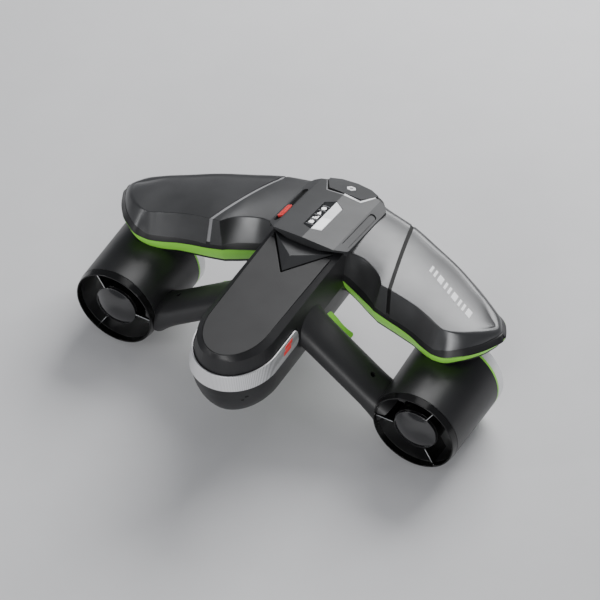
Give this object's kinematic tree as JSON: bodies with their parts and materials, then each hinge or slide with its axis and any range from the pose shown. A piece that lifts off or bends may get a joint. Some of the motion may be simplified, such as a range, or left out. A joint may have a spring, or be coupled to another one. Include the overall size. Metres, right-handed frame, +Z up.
{
  "type": "underwater scooter",
  "caption": "Hand-held diving scooter: a boat-shaped battery hull with swept float wings, slanted trigger handles and a ducted propeller at each side.",
  "frame": {"origin": "under the middle of the overall box, on the plane that the two ducts stand on", "axes": "+X to the rider's right across the wings, +Y forward along the thruster axes, +Z up"},
  "size_m": [0.63, 0.427, 0.231],
  "materials": {
    "shell_plastic": "fine satin grained dark grey plastic",
    "body_plastic": "matte black moulded plastic",
    "grip_plastic": "soft-touch black plastic",
    "gloss_black": "polished black plastic",
    "joint_grey": "satin grey plastic",
    "green_plastic": "satin lime green plastic",
    "silver_metal": "fine brushed silver",
    "red_plastic": "satin red plastic",
    "lens": "polished dark window",
    "steel": "machined stainless steel",
    "copper": "enamelled copper wire",
    "brass": "gold-plated brass",
    "inner_plastic": "fibre-filled black plastic",
    "cell_wrap": "shrink-wrapped blue",
    "rubber": "moulded rubber",
    "board": "green circuit board",
    "foam": "closed-cell buoyancy foam"
  },
  "bodies": {
    "hull": {"bay_liner": "inner_plastic", "chevron_wedge": "shell_plastic", "contact_pins": "brass", "controller_board": "board", "display_lens": "lens", "display_panel": "gloss_black", "duct_shell_left": "body_plastic", "duct_shell_right": "body_plastic", "duct_stripes": "green_plastic", "handle_left": "grip_plastic", "handle_right": "grip_plastic", "hub_cap_left": "gloss_black", "hub_cap_right": "gloss_black", "inlet_guard_left": "body_plastic", "inlet_guard_right": "body_plastic", "inlet_ring_left": "silver_metal", "inlet_ring_right": "silver_metal", "latch_pins": "steel", "motor_windings": "copper", "mount_nut": "steel", "mount_plate": "shell_plastic", "outlet_ring_left": "gloss_black", "outlet_ring_right": "gloss_black", "pod_lower_shell": "body_plastic", "pod_upper_shell": "shell_plastic", "shaft_bearings": "steel", "shaft_seals": "rubber", "shell_screws": "steel", "side_inlay": "shell_plastic", "stator_hub_left": "body_plastic", "stator_hub_right": "body_plastic", "top_cover": "shell_plastic", "trigger_pins": "steel", "trigger_springs": "steel", "wing_cover_inner_left": "shell_plastic", "wing_cover_inner_right": "shell_plastic", "wing_cover_outer_left": "shell_plastic", "wing_cover_outer_right": "shell_plastic", "wing_foam_left": "foam", "wing_foam_right": "foam", "wing_joint_strip_left": "joint_grey", "wing_joint_strip_right": "joint_grey", "wing_lower_shell_left": "body_plastic", "wing_lower_shell_right": "body_plastic", "wing_trim_left": "green_plastic", "wing_trim_right": "green_plastic"},
    "battery": {"battery_lid": "shell_plastic", "battery_case": "inner_plastic", "battery_cells": "cell_wrap", "battery_seal": "rubber"},
    "latch": {"tail_latch": "silver_metal"},
    "key": {"power_key": "red_plastic"},
    "trigger_right": {"trigger_right": "green_plastic"},
    "trigger_left": {"trigger_left": "green_plastic"},
    "rotor_right": {"motor_rotor_right": "steel", "propeller_right": "inner_plastic", "spinner_right": "inner_plastic"},
    "rotor_left": {"motor_rotor_left": "steel", "propeller_left": "inner_plastic", "spinner_left": "inner_plastic"}
  },
  "joints": [
    {"name": "battery_lift", "type": "slide", "parent": "hull", "child": "battery", "axis": [0, 0, 1], "range_m": [0, 0.12]},
    {"name": "latch_pull", "type": "slide", "parent": "hull", "child": "latch", "axis": [0, -1, 0], "range_m": [0, 0.01]},
    {"name": "key_slide", "type": "slide", "parent": "hull", "child": "key", "axis": [0, 0.9882, -0.1532], "range_m": [0, 0.04]},
    {"name": "trigger_squeeze_right", "type": "hinge", "parent": "hull", "child": "trigger_right", "pos_m": [0.07017, -0.0145, 0.14583], "axis": [-0.5906, 0, -0.807], "range_deg": [0, 6], "stiffness_Nm_per_rad": 2, "springref_deg": -5.73},
    {"name": "trigger_squeeze_left", "type": "hinge", "parent": "hull", "child": "trigger_left", "pos_m": [-0.07017, -0.0145, 0.14583], "axis": [-0.5906, 0, 0.807], "range_deg": [0, 6], "stiffness_Nm_per_rad": 2, "springref_deg": -5.73},
    {"name": "propeller_spin_right", "type": "hinge", "parent": "hull", "child": "rotor_right", "pos_m": [0.246, 0.014, 0.069], "axis": [0, 1, 0], "continuous": true},
    {"name": "propeller_spin_left", "type": "hinge", "parent": "hull", "child": "rotor_left", "pos_m": [-0.246, 0.014, 0.069], "axis": [0, 1, 0], "continuous": true}
  ]
}
